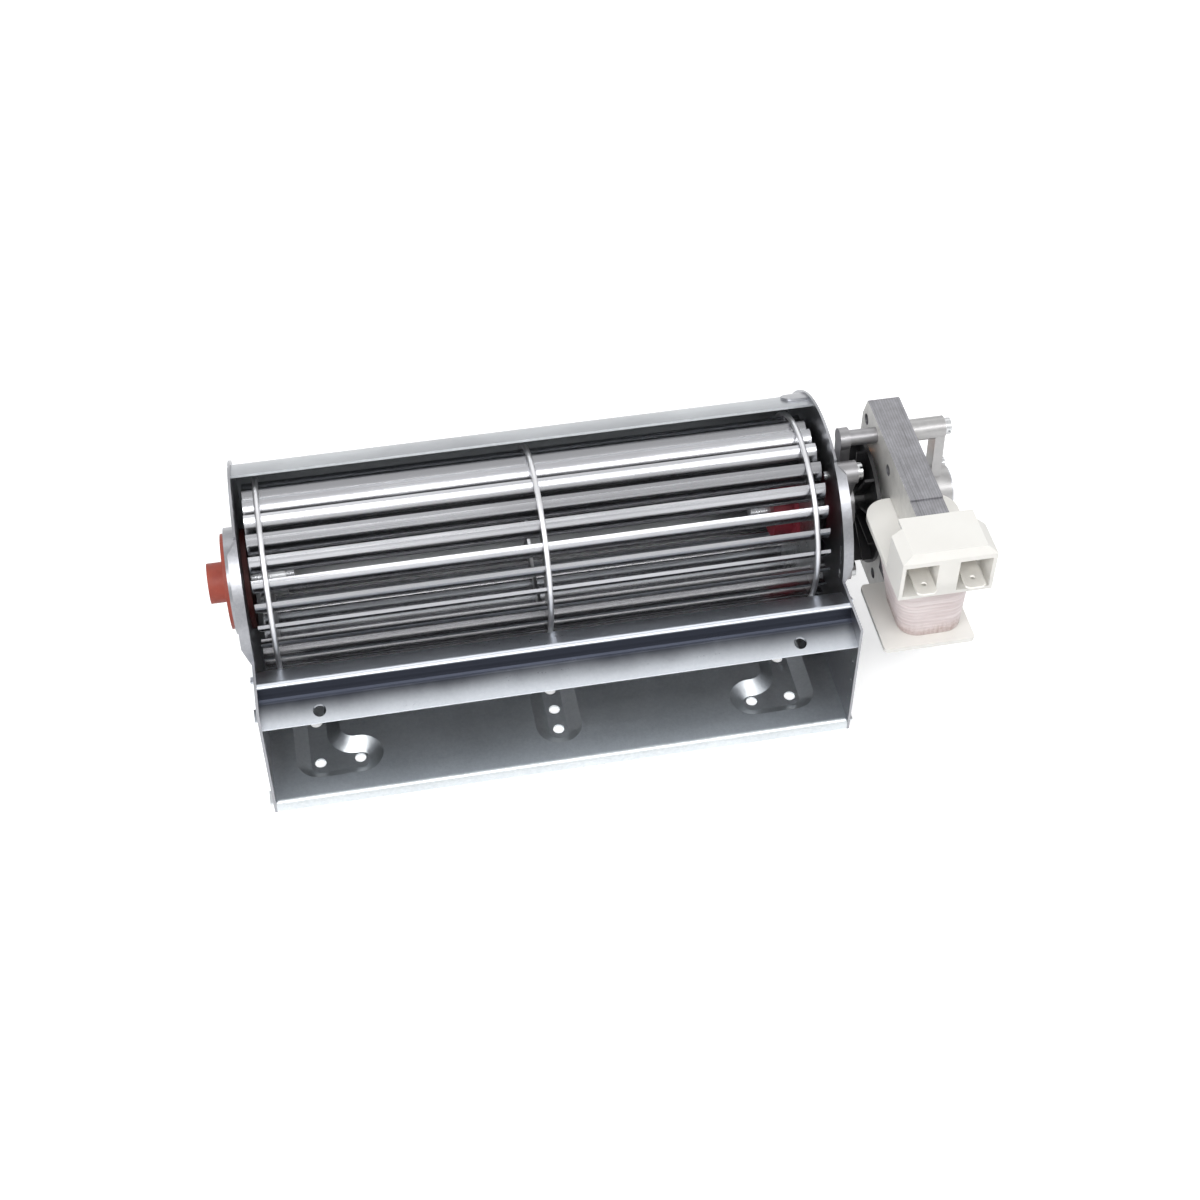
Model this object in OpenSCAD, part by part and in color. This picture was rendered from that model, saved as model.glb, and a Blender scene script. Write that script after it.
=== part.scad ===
// Tangential oven fan with its skeleton motor: a long aluminium drum impeller turns in a folded
// steel scroll housing, driven by a shaded-pole motor on the right-hand end plate.
// Units are millimetres. +X runs along the impeller towards the motor, -Y is the side the air
// leaves by, +Z is up from the mounting plane. The origin is the centre of the mounting holes
// on the mounting plane.

/* [Impeller] */
// Length over the blade ends
impeller_l = 180; // [170:1:190]
// Diameter over the blades
impeller_d = 60; // [58:0.5:61]
// Depth of the blade row, measured along the radius
blade_depth = 5.6; // [5:0.1:6.2]
// Number of blades
blade_n = 26; // [20:1:28]
// Blade sheet thickness
blade_t = 0.45; // [0.35:0.05:0.6]
// Wire diameter of the three rings around the blades
ring_wire = 1.74; // [1.5:0.02:1.9]
// How far the two outer rings sit in from the blade ends
ring_inset = 4.43; // [3.5:0.01:6]
// Thickness of the end discs and of the middle support ring
disc_t = 1; // [0.8:0.1:1.4]
// Diameter of the idle shaft and of the motor shaft
shaft_d = 5; // [4.6:0.1:5.2]

/* [Housing sheet] */
// Thickness of the galvanised sheet
sheet_t = 0.8; // [0.7:0.05:0.9]
// Free space between a blade end and the end plate
end_gap = 2.5; // [2:0.1:4]
// Radius of the scroll wall, inside, less the radius of the impeller
scroll_gap = 8.7; // [8.4:0.1:10]
// How far the scroll centre sits below the impeller axis
scroll_drop = 4.3; // [4:0.1:5]
// Angle at which the scroll wall ends above the impeller
scroll_end = 72; // [64:1:74]
// Depth of the pressed pads in the base
pad_depth = 3.2; // [2.4:0.1:3.6]
// Half the width of the flat bottom of a pad
pad_r = 3; // [2.6:0.1:3.6]
// Run of the sloping pad walls for each millimetre of depth
pad_slope = 1.4; // [0.9:0.05:1.5]
// Distance from the impeller axis to the front edge of the end plates
front_reach = 57.5; // [56.5:0.1:59]
// Distance from the impeller axis back to the rear foot of the end plates
rear_foot = 18; // [14:1:22]
// Radius of the rounded front of an end plate
nose_r = 36; // [35.8:0.1:36.6]
// Width of the turned rim on the rounded front
rim_w = 2.4; // [2:0.1:3]
// Radius of the round dish in the middle of an end plate
dish_r = 17; // [16:0.1:18]
// Depth of the dish, outer face to outer face
dish_depth = 4.4; // [4:0.1:5]

/* [Mounting holes] */
// Hole diameter in the pads
pad_hole_d = 3.6; // [3:0.1:4.2]
// Spacing of the outer pad holes along X
hole_dx = 154.8; // [140:0.1:156]
// Spacing of the pad holes along Y
hole_dy = 16.8; // [15.6:0.1:17.4]
// Distance from an outer hole to the extra hole beside it
extra_dx = 12.8; // [11:0.1:15]
// Hole diameter in the upper flange
flange_hole_d = 4; // [3:0.1:4.6]
// Spacing of the two holes in the upper flange
flange_dx = 149.6; // [130:0.1:156]

/* [Motor] */
// Distance from the end plate to the lamination stack
stack_gap = 18.5; // [18.5:0.1:21]
// Thickness of the lamination stack
stack_t = 10.5; // [10:0.5:16]
// Height of the stack
stack_h = 61; // [60.4:0.2:62]
// Height of a leg of the stack
leg_h = 14.3; // [14:0.1:14.5]
// Distance from the axis to the back of the stack
stack_back = 16.5; // [16:0.1:19]
// Stator bore diameter
bore_d = 24; // [23.6:0.1:24.4]
// Air gap between rotor and stator
air_gap = 0.35; // [0.3:0.05:0.5]
// Height of the bracket screws above and below the axis
pillar_z = 25.5; // [25.2:0.1:26]
// Distance of the bracket screws behind the axis
pillar_y = 2.4; // [0:0.1:3]
// Diameter of the pillars of the front bracket
front_pillar_d = 5.2; // [4.6:0.1:6]
// Diameter of the pillars of the rear bracket
rear_pillar_d = 7.2; // [6.4:0.1:7.6]
// Outer radius of the cooling fan
fan_r = 21.3; // [18:0.1:21.4]
// Number of cooling fan blades
fan_n = 12; // [8:1:14]

/* [Coil] */
// Width of the straight core through the coil
core_w = 14.8; // [14:0.1:15.4]
// Width of the bobbin flanges along X
flange_w = 29.7; // [28:0.1:31]
// Depth of the lower bobbin flange along Y
flange_y = 28.8; // [27:0.1:29]
// Width of the taped winding along X
coil_w = 25; // [22:0.5:26]
// Depth of the taped winding along Y
coil_d = 23; // [21.5:0.5:24]
// Thickness of the tape over the winding
tape_t = 0.4; // [0.3:0.1:0.6]
// Wall thickness of the bobbin flanges
bobbin_wall = 1.6; // [1:0.1:2]
// Width of a blade terminal
term_w = 6.3; // [4.8:0.1:6.4]
// Thickness of a blade terminal
term_t = 0.8; // [0.5:0.1:1]
// Spacing of the two terminals
term_dx = 15.3; // [14.6:0.1:15.8]

/* [Hidden] */
$fn = 64;
// clearances and fits
run_fit = 0.04;
slot_side = 0.15;
slot_end = 0.5;
disc_slot = 0.04;
core_gap = 0.1;
// the impeller axis in the frame of the mounting holes
scroll_r = impeller_d / 2 + scroll_gap;
axis_z = scroll_r + scroll_drop + pad_depth + sheet_t;
axis_y = 24.2 + hole_dy / 2;
// stations along X
blade_end = impeller_l / 2;
plate_in = blade_end + end_gap;
plate_out = plate_in + sheet_t;
dish_out = plate_out + dish_depth;
dish_in = dish_out - sheet_t;
ring_x = blade_end - ring_inset;
stack_x0 = plate_out + stack_gap;
stack_x1 = stack_x0 + stack_t;
coil_x = (stack_x0 + stack_x1) / 2;
// bracket and fan stations, counted back from the stack
front_hub_end = stack_x0 - 7.5;
front_bar_x1 = stack_x0 - 9.3;
front_bar_x0 = front_bar_x1 - 3.2;
fan_disc_x0 = stack_x0 - 3.4;
fan_disc_x1 = stack_x0 - 2.2;
cage_x0 = stack_x0 - 1.5;
cage_x1 = stack_x1 + 2.7;
rear_hub_x0 = stack_x1 + 6.2;
rear_bar_x0 = stack_x1 + 8.7;
rear_bar_x1 = stack_x1 + 11.9;
rear_hub_x1 = stack_x1 + 15.2;
cap_x1 = rear_hub_x1 + 0.6;
// radii
blade_ro = impeller_d / 2;
blade_ri = blade_ro - blade_depth;
shaft_r = shaft_d / 2;
ring_r = blade_ro + ring_wire / 2 + 0.02;
disc_r = blade_ro - 0.55;
rotor_r = bore_d / 2 - air_gap;
drive_r = 9;
hub_l = 5;
// blade arc: it leaves the outer circle at 22 degrees and meets the inner circle square on
arc_r = (blade_ro * blade_ro - blade_ri * blade_ri) / (2 * blade_ro * cos(22));
arc_cy = -arc_r * sin(22);
arc_cx = blade_ro - arc_r * cos(22);
// housing levels, counted from the axis
base_top = -scroll_drop - scroll_r;
base_mid = base_top - sheet_t / 2;
ground = -axis_z;
beak_top = 0.5;
scroll_out = scroll_r + sheet_t;
plate_scroll_r = scroll_out + 1.5;
lip_y = -front_reach + 0.5;
pad_back = -18;
pad_skin = sheet_t * (sqrt(1 + pad_slope * pad_slope) - pad_slope);
// tongue centre line from the free edge of the flange to the cut-off beside the blades:
// each point has its bend radius
tongue_path = [[lip_y, -7.4, 0], [lip_y + 9.6, -4.3, 4.8], [lip_y + 10.7, 0.3, 1.3],
               [-35.9, -4.7, 2], [-34.4, -11.6, 6], [-32, -16.5, 0]];
flange_hole_y = lip_y + 3.6;
// centre line of the front lip and the flat base
base_path = [[lip_y, ground, 0], [lip_y, base_mid, 1.4], [0, base_mid, 0]];
bend_steps = 6;
// tabs that hold the sheets in the end plates
tab_w = 5;
tab_proud = 1;
scroll_tabs = [-60, -24, 12, 46];
base_tabs = [lip_y + 2.7, lip_y + 22, -10];
// bearings
bearing_r = 4.5;
motor_bearing_r = 5;
mount_neck_r = 11;
// half the height of the window between the legs of the stack
window = stack_h / 2 - leg_h;
// coil levels, counted from the axis
core_y1 = -33.8;
core_y0 = core_y1 - core_w;
coil_y = core_y1 - 7.5;
core_cy = (core_y0 + core_y1) / 2;
core_cut = 10;
flange_lo = 2.2 - window;
wind_lo = flange_lo + bobbin_wall;
flange_hi = window - 0.2;
wind_hi = flange_hi - bobbin_wall - 0.2;
block_top = stack_h / 2 - 1.2;
lid_top = stack_h / 2 + 1.5;
block_front = core_y0 - 10.7;
block_back = core_y0 + 2.1;
lid_back = block_back + 4.2;
flange_back = core_y1 + 16.5;
recess_lo = wind_hi + 1.2;
recess_hi = block_top - 1.7;
recess_side = 1.2;
recess_mid = 3.3;
term_z = flange_hi + 4.6;
term_root = core_y0 - core_gap - 0.5;
term_tip = block_front - 4.7;
tube_x = stack_t + 2 * core_gap + 1.8;
tube_y = core_w + 2 * core_gap + 1.8;
hole_ys = [-12.3, 12.3];
hole_z = 23.5;
screw_r = 1.5;
plate_screw_pcd = 45;
plate_screw_a = [112, 232, 352];

// puts a shape drawn about the impeller axis into the frame of the mounting holes
module at_axis() {
    translate([0, axis_y, axis_z]) children();
}

// extrudes a drawing in the YZ plane from x0 to x1
module slab(x0, x1) {
    translate([x0, 0, 0]) rotate([90, 0, 90]) linear_extrude(x1 - x0) children();
}

// cylinder along X
module rod(x0, x1, r, y = 0, z = 0) {
    translate([x0, y, z]) rotate([0, 90, 0]) cylinder(h = x1 - x0, r = r);
}

// tube along X
module pipe(x0, x1, ro, ri) {
    difference() {
        rod(x0, x1, ro);
        rod(x0 - 1, x1 + 1, ri);
    }
}

// box given by two corners
module block(a, b) {
    translate(a) cube(b - a);
}

// pie slice that reaches past radius r
module wedge(a0, a1, r) {
    polygon([[0, 0], [r * cos(a0), r * sin(a0)],
             [1.3 * r * cos((a0 + a1) / 2), 1.3 * r * sin((a0 + a1) / 2)],
             [r * cos(a1), r * sin(a1)]]);
}

// ring sector of inner radius ri
module sector(ri, ro, a0, a1) {
    intersection() {
        difference() {
            circle(ro);
            circle(ri);
        }
        wedge(a0, a1, 2 * ro);
    }
}

function unit(v) = v / norm(v);

function flat_point(p) = [p[0], p[1]];

// points of the arc that rounds corner b between a and c
function bend_arc(a, b, c, r) =
    let (u = unit(a - b), v = unit(c - b), half = acos(u * v) / 2,
         o = b + unit(u + v) * r / sin(half), p = b + u * r / tan(half) - o,
         q = b + v * r / tan(half) - o, a0 = atan2(p[1], p[0]),
         sweep = (atan2(q[1], q[0]) - a0 + 540) % 360 - 180)
    [for (i = [0:bend_steps]) o + r * [cos(a0 + sweep * i / bend_steps),
                                       sin(a0 + sweep * i / bend_steps)]];

// centre line with its bends rounded
function bent(path) = concat([flat_point(path[0])],
    [for (i = [1:len(path) - 2]) each bend_arc(flat_point(path[i - 1]), flat_point(path[i]),
                                               flat_point(path[i + 1]), path[i][2])],
    [flat_point(path[len(path) - 1])]);

// normal of the centre line at point i, lengthened for the mitre
function mitre(p, i) =
    let (u = i > 0 ? unit(p[i] - p[i - 1]) : unit(p[1] - p[0]),
         v = i < len(p) - 1 ? unit(p[i + 1] - p[i]) : u,
         m = [-u[1] - v[1], u[0] + v[0]])
    m / (1 + u * v);

// section of a folded sheet of thickness t along a centre line
module folded(path, t) {
    p = bent(path);
    n = len(p) - 1;
    polygon(concat([for (i = [0:n]) p[i] + mitre(p, i) * t / 2],
                   [for (i = [0:n]) p[n - i] - mitre(p, n - i) * t / 2]));
}

// rectangle with round corners, centred
module round_rect(w, h, r) {
    square([w - 2 * r, h], center = true);
    square([w, h - 2 * r], center = true);
    for (sx = [-1, 1], sy = [-1, 1])
        translate([sx * (w / 2 - r), sy * (h / 2 - r)]) circle(r);
}

// outlines of the tabs, or of their slots when grown
module tab_outlines(side, end) {
    w = tab_w + 2 * end;
    t = sheet_t + 2 * side;
    for (a = scroll_tabs)
        translate([0, -scroll_drop]) rotate(a)
            translate([scroll_r + sheet_t / 2, 0]) square([t, w], center = true);
    for (y = base_tabs) translate([y, base_mid]) square([w, t], center = true);
}

// tabs at both ends of a sheet: they pass through the end plates and stand a little proud
module tab_ends() {
    for (m = [0, 1]) mirror([m, 0, 0]) slab(plate_in - 0.5, plate_out + tab_proud) children();
}

// tab in the middle of one straight stretch of the tongue
module tongue_tab(i, w, t) {
    p = flat_point(tongue_path[i]);
    q = flat_point(tongue_path[i + 1]);
    translate((p + q) / 2) rotate(atan2(q[1] - p[1], q[0] - p[0])) square([w, t], center = true);
}

// outlines of the two tabs of the tongue, or of their slots
module tongue_tab_outlines(side, end) {
    for (i = [0, 2]) tongue_tab(i, tab_w - 1 + 2 * end, sheet_t + 2 * side);
}

// round end or corner of a pressed pad: sloping wall swept from angle a0 over span
module pad_turn(p, r, z0, h, a0, span) {
    translate([p[0], p[1], z0]) rotate([0, 0, a0]) rotate_extrude(angle = span)
        polygon([[0, 0], [r, 0], [r + pad_slope * h, h], [0, h]]);
}

// straight run of a pressed pad with sloping side walls
module pad_run(p, q, r, z0, h) {
    d = q - p;
    translate([p[0], p[1], z0]) rotate([0, 0, atan2(d[1], d[0])]) rotate([90, 0, 90])
        linear_extrude(norm(d))
            polygon([[-r, 0], [r, 0], [r + pad_slope * h, h], [-r - pad_slope * h, h]]);
}

// outer half of a straight run, on the right of the way from p to q
module pad_half(p, q, r, z0, h) {
    d = q - p;
    translate([p[0], p[1], z0]) rotate([0, 0, atan2(d[1], d[0])]) rotate([90, 0, 90])
        linear_extrude(norm(d)) polygon([[-r, 0], [0, 0], [0, h], [-r - pad_slope * h, h]]);
}

// inner corner of an L, rounded about its centre c
module pad_fillet(p, c, r, z0, h) {
    w = p[0] - c[0];
    difference() {
        translate([c[0], p[1], z0]) cube([w, w, h]);
        translate([c[0], c[1], z0]) cylinder(h = h, r1 = w - r, r2 = w - r - pad_slope * h);
    }
}

// the pressed pads, seen from the axis: one L at each end and a strip in the middle
module pads(r, z0, h) {
    ox = hole_dx / 2;
    yf = -axis_y - hole_dy / 2 - 0.8;
    cx = ox - extra_dx + 0.8;
    cy = yf + extra_dx - 0.8;
    for (m = [0, 1]) mirror([m, 0, 0]) {
        pad_turn([ox, pad_back], r, z0, h, 0, 180);
        pad_run([ox, pad_back], [ox, cy], r, z0, h);
        pad_half([ox, yf], [ox, cy], r, z0, h);
        pad_turn([ox, yf], r, z0, h, 270, 90);
        pad_half([cx, yf], [ox, yf], r, z0, h);
        pad_run([cx, yf], [ox - extra_dx, yf], r, z0, h);
        pad_turn([ox - extra_dx, yf], r, z0, h, 90, 180);
        pad_fillet([ox, yf], [cx, cy], r, z0, h);
    }
    pad_turn([0, pad_back], r, z0, h, 0, 180);
    pad_run([0, pad_back], [0, yf], r, z0, h);
    pad_turn([0, yf], r, z0, h, 180, 180);
}

// the mounting holes in the pads
module pad_holes() {
    ox = hole_dx / 2;
    for (sx = [-1, 1], sy = [-1, 1])
        translate([sx * ox, -axis_y + sy * hole_dy / 2, ground - 1])
            cylinder(h = 10, d = pad_hole_d);
    for (s = [-1, 1])
        translate([s * (ox - extra_dx), -axis_y - hole_dy / 2, ground - 1])
            cylinder(h = 10, d = pad_hole_d);
    for (s = [-1, 0, 1])
        translate([0, -axis_y + s * hole_dy / 2, ground - 1])
            cylinder(h = 10, d = pad_hole_d);
}

// one folded sheet: front lip, base with pads, scroll wall
module scroll_housing() {
    color([0.66, 0.68, 0.7]) at_axis() difference() {
        union() {
            slab(-plate_in, plate_in) {
                folded(base_path, sheet_t);
                translate([0, -scroll_drop]) sector(scroll_r, scroll_out, -90, scroll_end);
            }
            tab_ends() tab_outlines(0, 0);
            pads(pad_r + pad_skin, ground, pad_depth + sheet_t / 2);
        }
        pads(pad_r, ground + sheet_t, pad_depth + 0.5);
        pad_holes();
    }
}

// one folded sheet: upper flange with its two holes, bend and cut-off
module tongue_sheet() {
    color([0.7, 0.72, 0.74]) at_axis() difference() {
        union() {
            slab(-plate_in, plate_in) folded(tongue_path, sheet_t);
            tab_ends() tongue_tab_outlines(-0.05, 0);
        }
        for (s = [-1, 1])
            translate([s * flange_dx / 2, flange_hole_y, -12]) cylinder(h = 10, d = flange_hole_d);
    }
}

// flat outline of an end plate, seen along the axis
module plate_outline() {
    circle(nose_r);
    intersection() {
        translate([0, -scroll_drop]) circle(plate_scroll_r);
        translate([-15.2, -60]) square([80, 120]);
    }
    translate([-front_reach, ground]) square([front_reach, beak_top - ground]);
    translate([-front_reach, ground]) square([front_reach + rear_foot, 17]);
}

// end plate without its own bearing holes: flat sheet, dish, turned rim and slots
module plate_blank() {
    difference() {
        union() {
            slab(plate_in, plate_out) plate_outline();
            rod(plate_out - 0.1, dish_out, dish_r);
            intersection() {
                slab(plate_in, plate_out + rim_w) sector(nose_r - sheet_t, nose_r, 115.5, 182);
                rotate([90, 0, 0]) linear_extrude(60)
                    polygon([[plate_in, -1.2], [plate_out, -1.2], [plate_out + rim_w, 6],
                             [plate_out + rim_w, 30.4], [plate_out, 32], [plate_in, 33.6]]);
            }
        }
        rod(plate_in - 1, dish_in, dish_r - sheet_t);
        slab(plate_in - 1, plate_out + 1) {
            tab_outlines(slot_side, slot_end);
            tongue_tab_outlines(slot_side, slot_end);
            for (a = [163, 169, 179]) rotate(a) translate([32.4, 0]) square([1.4, 3], center = true);
            for (z = [-34.4, -25.7, -17]) translate([3 - front_reach, z]) circle(d = 1.3);
        }
    }
}

module left_end_plate() {
    color([0.64, 0.66, 0.68]) at_axis() mirror([1, 0, 0]) difference() {
        plate_blank();
        rod(plate_in, dish_out + 1, mount_neck_r);
    }
}

module right_end_plate() {
    color([0.64, 0.66, 0.68]) at_axis() union() {
        difference() {
            plate_blank();
            rod(plate_in, dish_out + 1, 9.5);
            for (a = plate_screw_a) rotate([a, 0, 0])
                rod(plate_in, dish_out + 1, 1.7, plate_screw_pcd / 2);
        }
        // round ear folded over the top of the scroll wall
        intersection() {
            slab(plate_in - 8, plate_in + 0.1)
                translate([0, -scroll_drop]) sector(scroll_out, scroll_out + 0.8, 53, 67);
            translate([0, 0, -scroll_drop]) rotate([60 - 90, 0, 0]) union() {
                translate([plate_in - 3.8, 0, 30]) cylinder(h = 20, r = 4.2);
                translate([plate_in - 3.8, -4.2, 30]) cube([6, 8.4, 20]);
            }
        }
    }
}

// silicone rubber mount that clips into the dish of the left plate
module bearing_mount() {
    color([0.8, 0.29, 0.16]) at_axis() mirror([1, 0, 0]) difference() {
        union() {
            rod(dish_out, dish_out + 1.2, dish_r - 1.8);
            rod(dish_in, dish_out, mount_neck_r);
            rod(plate_in - 1.5, dish_in, dish_r - sheet_t - 0.3);
            rod(dish_out + 1, dish_out + 6.7, 6.45);
        }
        rod(plate_in - 2, dish_out + 5.4, bearing_r);
    }
}

module idle_bearing() {
    color([0.72, 0.55, 0.34]) at_axis() mirror([1, 0, 0])
        pipe(plate_in + 0.5, dish_out + 5.1, bearing_r, shaft_r + run_fit);
}

module idle_shaft() {
    color([0.72, 0.73, 0.75]) at_axis() rod(-dish_out - 4.8, 12.5 - blade_end, shaft_r);
}

// section of one blade, thickened by g
module blade_section(g) {
    intersection() {
        translate([arc_cx, arc_cy]) difference() {
            circle(arc_r + blade_t / 2 + g);
            circle(arc_r - blade_t / 2 - g);
        }
        difference() {
            circle(blade_ro + g);
            circle(blade_ri - g);
        }
        polygon([[0, 0], [40 * cos(-2.2), 40 * sin(-2.2)], [44, 5], [40 * cos(13), 40 * sin(13)]]);
    }
}

module blade_row(g) {
    for (i = [0:blade_n - 1]) rotate(96 + i * 360 / blade_n) blade_section(g);
}

module impeller_blades() {
    color([0.84, 0.85, 0.86]) at_axis() slab(-blade_end, blade_end) blade_row(0);
}

// disc pierced for the blades
module pierced_disc(x, ri) {
    slab(x - disc_t / 2, x + disc_t / 2) difference() {
        circle(disc_r);
        circle(ri);
        blade_row(disc_slot);
    }
}

module left_end_disc() {
    color([0.8, 0.81, 0.82]) at_axis() {
        pierced_disc(-ring_x, shaft_r);
        pipe(disc_t / 2 - ring_x, disc_t / 2 - ring_x + hub_l, shaft_r + 3.5, shaft_r);
    }
}

module right_end_disc() {
    color([0.8, 0.81, 0.82]) at_axis() pierced_disc(ring_x, drive_r);
}

module middle_support_ring() {
    color([0.8, 0.81, 0.82]) at_axis() pierced_disc(0, blade_ri - 2.9);
}

module wire_ring(x) {
    at_axis() translate([x, 0, 0]) rotate([0, 90, 0])
        rotate_extrude($fn = 96) translate([ring_r, 0]) circle(d = ring_wire, $fn = 24);
}

module left_wire_ring() {
    color([0.86, 0.87, 0.88]) wire_ring(-ring_x);
}

module middle_wire_ring() {
    color([0.86, 0.87, 0.88]) wire_ring(0);
}

module right_wire_ring() {
    color([0.86, 0.87, 0.88]) wire_ring(ring_x);
}

// silicone rubber hub that drives the right disc
module drive_hub() {
    color([0.6, 0.16, 0.15]) at_axis() difference() {
        union() {
            rod(blade_end - 12.5, blade_end + end_gap - 0.5, drive_r - 0.6);
            rod(ring_x - disc_t / 2, ring_x + disc_t / 2, drive_r);
            rod(ring_x - disc_t / 2 - 1.5, ring_x - disc_t / 2, drive_r + 2.5);
            rod(ring_x + disc_t / 2, ring_x + disc_t / 2 + 1.5, drive_r + 2.5);
        }
        rod(blade_end - 20, blade_end + 20, shaft_r);
    }
}

module motor_shaft() {
    color([0.72, 0.73, 0.75]) at_axis() rod(blade_end - 19, cap_x1 + 1, shaft_r);
}

module rotor_core() {
    color([0.42, 0.42, 0.44]) at_axis() slab(stack_x0, stack_x1) difference() {
        circle(rotor_r);
        circle(shaft_r);
        for (i = [0:13]) rotate(i * 360 / 14) translate([rotor_r - 1.6, 0]) circle(0.92, $fn = 24);
    }
}

module rotor_cage() {
    color([0.8, 0.81, 0.82]) at_axis() {
        pipe(cage_x0, stack_x0, rotor_r - 0.4, rotor_r - 4.4);
        pipe(stack_x1, cage_x1, rotor_r - 0.4, rotor_r - 4.4);
        for (i = [0:13]) rotate([i * 360 / 14, 0, 0])
            rod(stack_x0 - 0.1, stack_x1 + 0.1, 0.9, rotor_r - 1.6);
    }
}

module rotor_spacer() {
    color([0.74, 0.6, 0.4]) at_axis() pipe(stack_x1, rear_hub_x0 - 0.6, 3.6, shaft_r);
}

module thrust_washers() {
    color([0.2, 0.2, 0.21]) at_axis() {
        pipe(front_hub_end + 0.1, front_hub_end + 0.6, 4.2, shaft_r);
        pipe(rear_hub_x0 - 0.6, rear_hub_x0 - 0.1, 4.2, shaft_r);
    }
}

module cooling_fan() {
    color([0.06, 0.06, 0.065]) at_axis() {
        pipe(front_hub_end + 0.6, fan_disc_x0, 6, shaft_r);
        pipe(fan_disc_x0, fan_disc_x1, fan_r, shaft_r);
        for (i = [0:fan_n - 1]) rotate([i * 360 / fan_n, 0, 0])
            block([front_hub_end + 1, 5.8, -0.45], [fan_disc_x0, fan_r - 0.4, 0.45]);
    }
}

// flat arm along a radius, between two stations; it ends inside the round boss at its tip
module arm(x0, x1, r, a, w) {
    rotate([a, 0, 0]) block([x0, 0, -w / 2], [x1, r + 0.7, w / 2]);
}

module front_bracket() {
    pr = norm([pillar_y, pillar_z]);
    pa = atan2(pillar_z, pillar_y);
    color([0.6, 0.61, 0.63]) at_axis() difference() {
        union() {
            rod(plate_out + 0.9, front_hub_end, 8.5);
            for (s = [-1, 1]) {
                arm(front_bar_x0, front_bar_x1, pr, s * pa, 6);
                rod(front_bar_x0, front_bar_x1, 3.7, pillar_y, s * pillar_z);
                rod(front_bar_x0 + 1, stack_x0, front_pillar_d / 2, pillar_y, s * pillar_z);
            }
            for (a = plate_screw_a) {
                arm(front_bar_x0, front_bar_x1, plate_screw_pcd / 2, a, 6);
                rotate([a, 0, 0]) rod(plate_out, front_bar_x1, 3.8, plate_screw_pcd / 2);
            }
        }
        rod(plate_in - 5, front_hub_end + 1, 3.2);
        rod(dish_out - 1.7, front_hub_end + 1, motor_bearing_r);
        for (s = [-1, 1]) rod(front_bar_x1 - 1, stack_x0 + 1, screw_r, pillar_y, s * pillar_z);
        for (a = plate_screw_a) rotate([a, 0, 0])
            rod(plate_out - 1, front_bar_x1 + 1, screw_r, plate_screw_pcd / 2);
    }
}

module rear_bracket() {
    pr = norm([pillar_y, pillar_z]);
    pa = atan2(pillar_z, pillar_y);
    color([0.6, 0.61, 0.63]) at_axis() difference() {
        union() {
            rod(rear_hub_x0, rear_hub_x1, 8);
            for (s = [-1, 1]) {
                arm(rear_bar_x0, rear_bar_x1, pr, s * pa, 6.2);
                rod(stack_x1, rear_bar_x1, rear_pillar_d / 2, pillar_y, s * pillar_z);
                rod(rear_bar_x0, rear_hub_x1, 2.8, s * 8.6, s * 3.1);
            }
        }
        rod(rear_hub_x0 - 1, rear_hub_x1 + 1, 3.2);
        rod(rear_hub_x0 - 1, rear_hub_x1 - 1.5, motor_bearing_r);
        for (s = [-1, 1]) {
            rod(stack_x1 - 1, rear_bar_x1 + 1, screw_r, pillar_y, s * pillar_z);
            rod(rear_bar_x0 + 1.2, rear_hub_x1 + 1, 1, s * 8.6, s * 3.1);
        }
    }
}

module front_bearing() {
    color([0.72, 0.55, 0.34]) at_axis()
        pipe(dish_out - 1.7, front_hub_end, motor_bearing_r, shaft_r + run_fit);
}

module rear_bearing() {
    color([0.72, 0.55, 0.34]) at_axis()
        pipe(rear_hub_x0, rear_hub_x1 - 1.5, motor_bearing_r, shaft_r + run_fit);
}

module bearing_cap() {
    color([0.7, 0.71, 0.73]) at_axis() slab(rear_hub_x1, cap_x1) difference() {
        union() {
            circle(7.4);
            for (s = [-1, 1]) translate([s * 8.6, s * 3.1]) circle(2.6);
            rotate(atan2(3.1, 8.6)) square([18, 5.2], center = true);
        }
        circle(3.2);
        for (s = [-1, 1]) translate([s * 8.6, s * 3.1]) circle(1);
    }
}

// round-headed screw along X, head towards +X when dir is 1
module slotted_screw(x_head, x_tip, r, head_r, head_h, dir) {
    difference() {
        union() {
            rod(min(x_head, x_tip), max(x_head, x_tip), r);
            rod(dir > 0 ? x_head : x_head - head_h, dir > 0 ? x_head + head_h : x_head, head_r);
        }
        translate([x_head + dir * head_h, 0, 0]) cube([head_h, 2 * head_r + 1, 0.7], center = true);
    }
}

module bearing_cap_screws() {
    color([0.7, 0.71, 0.72]) at_axis() for (s = [-1, 1]) translate([0, s * 8.6, s * 3.1])
        slotted_screw(cap_x1, rear_bar_x0 + 1.6, 1, 1.9, 1.3, 1);
}

module bracket_screws() {
    color([0.76, 0.77, 0.78]) at_axis() for (s = [-1, 1]) translate([0, pillar_y, s * pillar_z])
        slotted_screw(rear_bar_x1, front_bar_x1, screw_r, 2.7, 2.2, 1);
}

module plate_screws() {
    color([0.76, 0.77, 0.78]) at_axis() for (a = plate_screw_a) rotate([a, 0, 0])
        translate([0, plate_screw_pcd / 2, 0])
            slotted_screw(front_bar_x1, plate_in - 0.6, screw_r, 2.8, 1.8, 1);
}

// ends of the two shading loops on one pole: radius and the two angles
shade_loops = [[13.9, 29, 57], [16.2, 34, 66]];

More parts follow.
